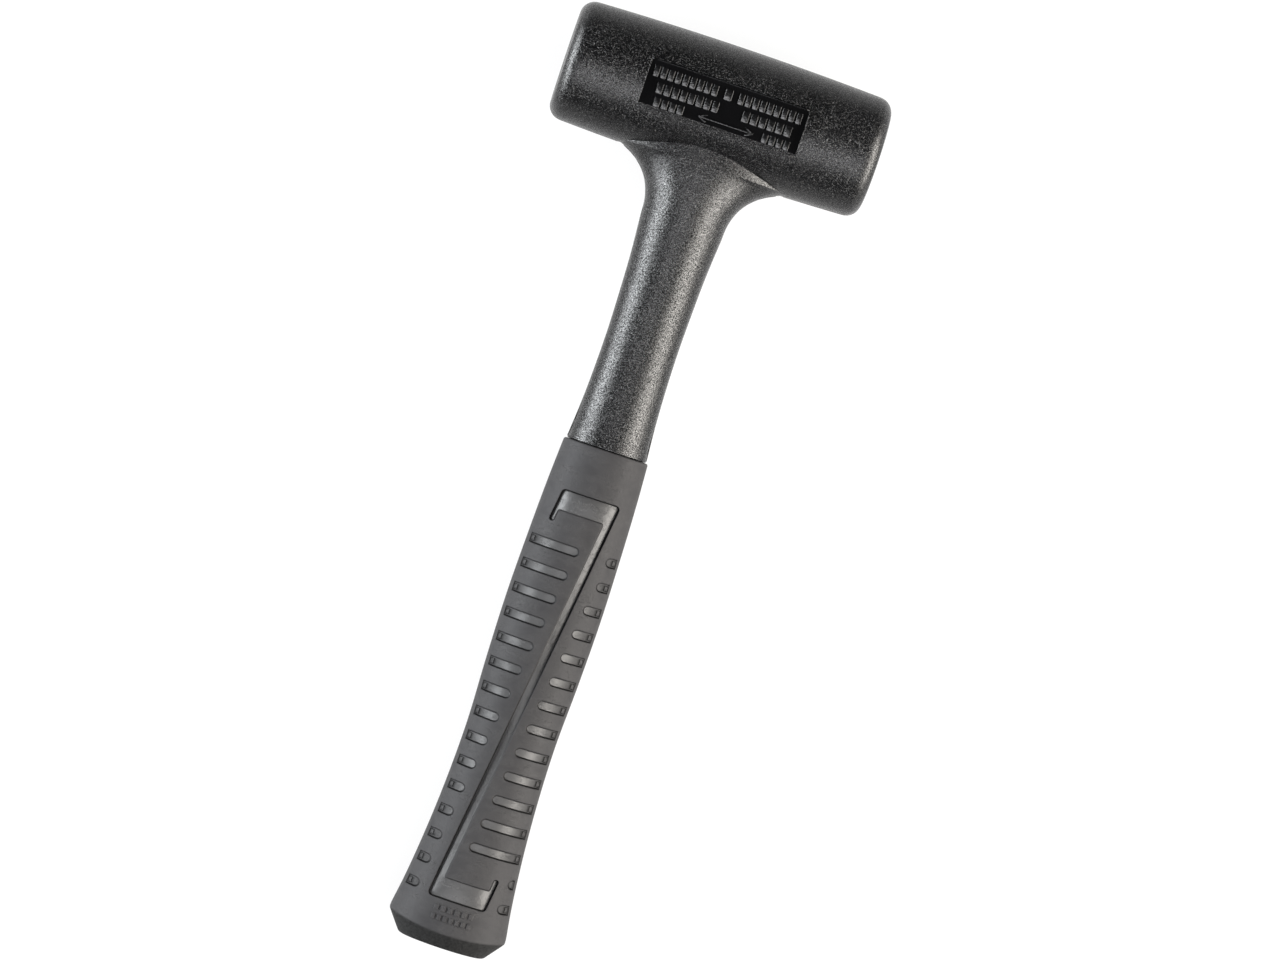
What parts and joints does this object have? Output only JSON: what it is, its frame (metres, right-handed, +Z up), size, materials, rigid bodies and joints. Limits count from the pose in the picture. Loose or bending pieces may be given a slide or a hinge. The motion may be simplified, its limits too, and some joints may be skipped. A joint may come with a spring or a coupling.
{
  "type": "dead blow mallet",
  "caption": "Soft-faced dead blow mallet: one moulded head and neck over a sealed canister of loose shot, with a slotted rubber grip on a steel-cored handle.",
  "frame": {"origin": "centre of the mallet's outline on the surface that it lies on, with its back down", "axes": "+Z up, away from that surface, out of the mallet's front; +Y along the handle towards the head; +X along the head axis, towards the right striking face"},
  "size_m": [0.1102, 0.3196, 0.0429],
  "materials": {
    "urethane": "semi-gloss with a fine spark-eroded grain",
    "grip_rubber": "matt",
    "canister_steel": "drawn tube, lightly oiled",
    "shot_steel": "dull round shot",
    "core_steel": "mill finish",
    "plug_plastic": "matt"
  },
  "bodies": {
    "mallet": {"urethane_body": "urethane", "grip_sleeve": "grip_rubber", "canister_tube": "canister_steel", "canister_cap_left": "canister_steel", "canister_cap_right": "canister_steel", "core_tube": "core_steel", "core_saddle": "core_steel", "core_end_plug": "plug_plastic"},
    "shot": {"shot_charge": "shot_steel"}
  },
  "joints": [
    {"name": "shot_slide", "type": "slide", "parent": "mallet", "child": "shot", "axis": [1, 0, 0], "range_m": [-0.0082, 0.0082]}
  ]
}
